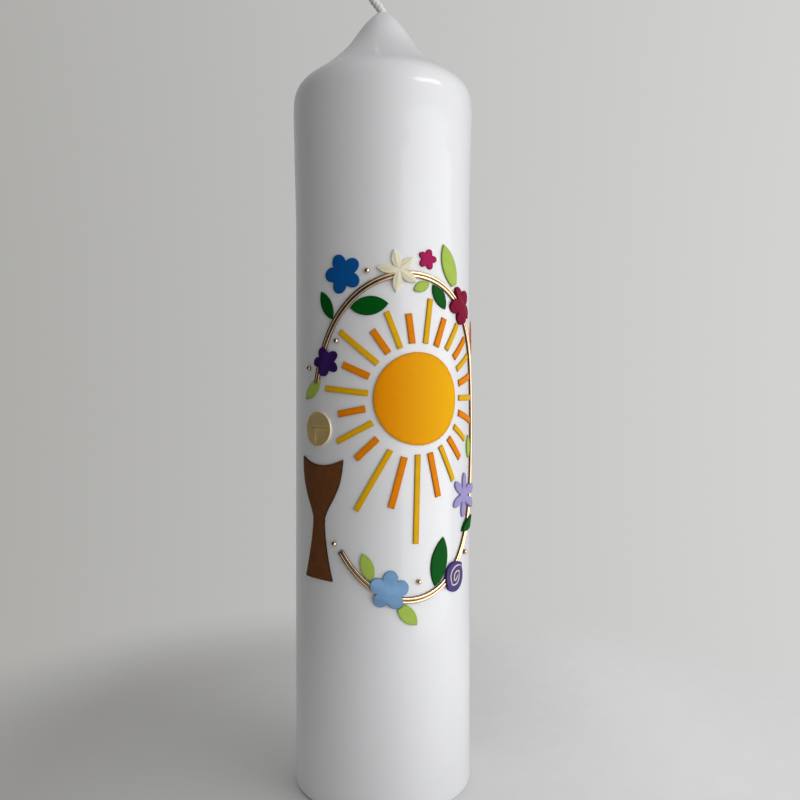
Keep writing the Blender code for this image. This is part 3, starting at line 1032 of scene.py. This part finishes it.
def make_spiral_line():
    """The pale layer rolled into the violet disc, on edge at its face."""
    loop = outline_of("spiral_disc")
    centre = middle_of(loop)
    reach = (loop[:, 1].max() - loop[:, 1].min()) / 2
    line = []
    for k in range(SPIRAL_STEPS + 1):
        share = k / SPIRAL_STEPS
        angle = math.radians(SPIRAL_START + SPIRAL_TURN * share)
        radius = reach * (0.80 - 0.66 * share**0.8)
        line.append(centre + radius * heading(angle))
    line = np.array(line)
    height = drape(line) + SHEET_THICKNESS - 0.03
    path = roll(np.column_stack([line, height])) / MM
    radii = SPIRAL_RADIUS * np.minimum(1, np.linspace(0.4, 12, len(path)))
    vertices, faces = tube_mesh(path, radii, 10)
    finish_piece(add_object("spiral_line", vertices, faces, PEARL), "cream")


def make_host():
    """The host's disc, with a raised rim and a thin cross pressed into it."""
    arms = np.array(HOST_CROSS) + middle_of(outline_of("host"))

    def pressed(points, distance):
        rim = 0.24 * np.exp(-(((distance - 0.45) / 0.28) ** 2))
        groove = np.zeros(len(points))
        for arm in arms:
            gap = distance_to(points, arm, closed=False)
            groove += 0.16 * np.exp(-(((gap - 0.55) / 0.22) ** 2))
            groove -= 0.38 * np.exp(-((gap / 0.28) ** 2))
        return rim + groove

    make_sheet("host", "host_gold", HOST_GOLD, pressed, pitch=0.24)


def bead_mesh(middle, radius):
    """Vertices (s, z, h) and faces of a slightly flat ball, in rings from its top down."""
    vertices, faces = [], []
    for ring in range(BEAD_RINGS + 1):
        tilt = math.pi / 2 - math.pi * ring / BEAD_RINGS
        height = radius * (BEAD_LIFT + BEAD_FLATNESS * math.sin(tilt))
        for side in range(BEAD_SIDES):
            spot = middle[:2] + radius * math.cos(tilt) * heading(math.tau * side / BEAD_SIDES)
            vertices.append((*spot, height))
    for ring in range(BEAD_RINGS):
        for side in range(BEAD_SIDES):
            a = ring * BEAD_SIDES + side
            b = ring * BEAD_SIDES + (side + 1) % BEAD_SIDES
            faces.append((a, a + BEAD_SIDES, b + BEAD_SIDES, b))
    return np.array(vertices), faces


def make_beads():
    for name in sorted(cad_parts):
        if name.startswith("bead_"):
            flat = unroll(node_vertices(name))
            radius = (flat[:, 1].max() - flat[:, 1].min()) / 2 * BEAD_SHARE
            vertices, faces = bead_mesh(middle_of(flat), radius)
            bead = add_object(f"{name}_gold", roll(vertices), faces, GOLD)
            # Painted shade: the lower part of each bead is marked to turn dark brown in the gold
            # material.
            above = vertices[:, 2] / radius - BEAD_LIFT
            add_share(bead, "rim", np.clip(0.5 - above, 0, 1))
            finish_piece(bead, "gold", name)


# Stage, lights and camera


def bearing(angle):
    """A level direction, by its angle in degrees to the right of the camera's own place."""
    turn = math.radians(angle + CAMERA_TURN)
    return (math.sin(turn), -math.cos(turn), 0.0)


def make_stage():
    """A pale table round the candle, painted darker to the left as shadow and glowing to the right
    as painted light, that fades into the backdrop.
    """
    material, nodes, links, shader = node_material("floor_finish")
    place = nodes.new("ShaderNodeTexCoord").outputs["Object"]
    fine = add_noise(nodes, links, place, 90, 3)
    share = add_range(nodes, links, fine, 0.3, 0.7, 0, 1)
    # Painted shadow: the floor's colour turns darker towards the left, away from the window.
    across = add_dot(nodes, links, place, bearing(90))
    side = add_range(nodes, links, across, -0.12, 0.12, 0, 1)
    bright = add_mix(nodes, links, share, (0.90, 0.905, 0.91), (0.93, 0.935, 0.94))
    links.new(add_mix(nodes, links, side, FLOOR_SHADED_LEFT, bright), shader.inputs["Base Color"])
    shader.inputs["Roughness"].default_value = 0.7
    # Painted light: on the window's side the floor glows, for the camera only.
    seen = nodes.new("ShaderNodeLightPath").outputs["Is Camera Ray"]
    lift = add_range(nodes, links, across, -0.03, 0.10, 0, FLOOR_PAINTED_LIGHT)
    links.new(
        add_math(nodes, links, "MULTIPLY", seen, lift),
        shader.inputs["Emission Strength"],
    )
    shader.inputs["Emission Color"].default_value = (1.0, 1.0, 1.0, 1.0)
    reach = nodes.new("ShaderNodeVectorMath")
    reach.operation = "LENGTH"
    links.new(place, reach.inputs[0])
    fade = add_range(nodes, links, reach.outputs["Value"], FLOOR_FULL, FLOOR_GONE, 1, 0)
    fade.node.interpolation_type = "SMOOTHSTEP"
    links.new(fade, shader.inputs["Alpha"])
    angles = [math.tau * k / FLOOR_SIDES for k in range(FLOOR_SIDES)]
    corners = [(*(FLOOR_GONE * heading(angle)), 0) for angle in angles]
    floor = add_object("floor", corners, [tuple(range(FLOOR_SIDES))], material, smooth=False)


def make_world():
    """Soft light from all round, stronger from the window's side.

    Shiny surfaces mirror a darker room with a bright window, and the camera sees a plain
    backdrop. The world isn't sampled as a lamp, so that each ray sees its own part of it.
    """
    world = bpy.data.worlds.new("studio")
    bpy.context.scene.world = world
    world.use_nodes = True
    world.cycles.sampling_method = "NONE"
    nodes, links = world.node_tree.nodes, world.node_tree.links
    light = nodes["Background"]
    light.inputs["Color"].default_value = (1.0, 0.975, 0.96, 1)
    place = nodes.new("ShaderNodeTexCoord").outputs["Generated"]
    window = add_dot(nodes, links, place, bearing(WINDOW_ANGLE))
    right = add_dot(nodes, links, place, bearing(90))
    ahead = add_dot(nodes, links, place, bearing(180))
    links.new(
        add_range(nodes, links, window, -1, 1, DIM_LIGHT, DAY_LIGHT),
        light.inputs["Strength"],
    )
    # Painted shade: the backdrop the camera sees is darker to the left, away from the window.
    seen = nodes.new("ShaderNodeBackground")
    share = add_range(nodes, links, right, -0.45, 0.45, 0, 1)
    links.new(
        add_mix(nodes, links, share, BACKDROP_SHADED_LEFT, BACKDROP_LIT_RIGHT),
        seen.inputs["Color"],
    )
    mirrored = nodes.new("ShaderNodeBackground")
    mirrored.inputs["Color"].default_value = (1.0, 0.99, 0.98, 1)
    bright = add_range(nodes, links, window, 0.2, 0.95, MIRRORED_ROOM, MIRRORED_WINDOW)
    bright.node.interpolation_type = "SMOOTHSTEP"
    wall = add_range(nodes, links, ahead, 0.1, 0.9, 0, MIRRORED_WALL)
    wall.node.interpolation_type = "SMOOTHSTEP"
    links.new(
        add_math(nodes, links, "ADD", bright, wall),
        mirrored.inputs["Strength"],
    )
    path = nodes.new("ShaderNodeLightPath")
    first = add_shader_mix(nodes, links, path.outputs["Is Glossy Ray"], light, mirrored)
    last = add_shader_mix(nodes, links, path.outputs["Is Camera Ray"], first, seen)
    links.new(last.outputs[0], nodes["World Output"].inputs["Surface"])


def add_area(name, angle, distance, height, size, power, colour, mirrored=True):
    """A soft lamp at an angle from the camera, aimed at the candle and not seen itself."""
    data = bpy.data.lights.new(name, "AREA")
    data.shape = "RECTANGLE"
    data.size, data.size_y = size
    data.energy = power
    data.color = colour
    lamp = bpy.data.objects.new(name, data)
    bpy.context.scene.collection.objects.link(lamp)
    lamp.location = Vector(bearing(angle)) * distance + Vector((0, 0, height))
    aim = Vector((0, 0, LAMP_AIM)) - lamp.location
    lamp.rotation_euler = aim.to_track_quat("-Z", "Y").to_euler()
    lamp.visible_camera = False
    lamp.visible_glossy = mirrored


def make_lights():
    """A broad low window, its glint on the shoulder, and fill from the ceiling and the wall."""
    add_area("window", 61, 1.2, 0.15, (1.8, 0.9), 9.2, (0.975, 0.99, 1.0))
    add_area("glint", 60, 1.2, 0.84, (0.80, 0.12), 2.2, (1.0, 1.0, 1.0))
    add_area("ceiling", 0, 0.01, 1.6, (1.0, 1.0), 3.4, (0.92, 0.96, 1.0), mirrored=False)
    add_area("wall", -163, 1.4, 0.25, (1.3, 0.9), 7.5, (1.0, 0.99, 0.97), mirrored=False)


def make_camera():
    data = bpy.data.cameras.new("camera")
    data.lens = CAMERA_LENS
    data.sensor_width = 36.0
    data.clip_start = 0.01
    camera = bpy.data.objects.new("camera", data)
    bpy.context.scene.collection.objects.link(camera)
    camera.location = CAMERA_PLACE
    camera.rotation_euler = (math.radians(90), 0, math.radians(CAMERA_TURN))
    bpy.context.scene.camera = camera


make_body()
make_wick()
make_strands()
make_sheet("sun_disc", "sun_yellow", SUN, thickness=SUN_THICKNESS, pitch=1.3)
make_rays()
make_sheet("chalice", "bronze_brown", BRONZE, pitch=1.0, loop=outline_of("chalice", CHALICE_CORNER))
make_host()
make_flowers()
make_sheet("spiral_disc", "spiral_violet", WAX["spiral_violet"], pitch=0.6)
make_spiral_line()
make_leaves()
make_beads()
make_stage()
make_world()
make_lights()
make_camera()
bpy.context.scene.view_settings.view_transform = "Standard"
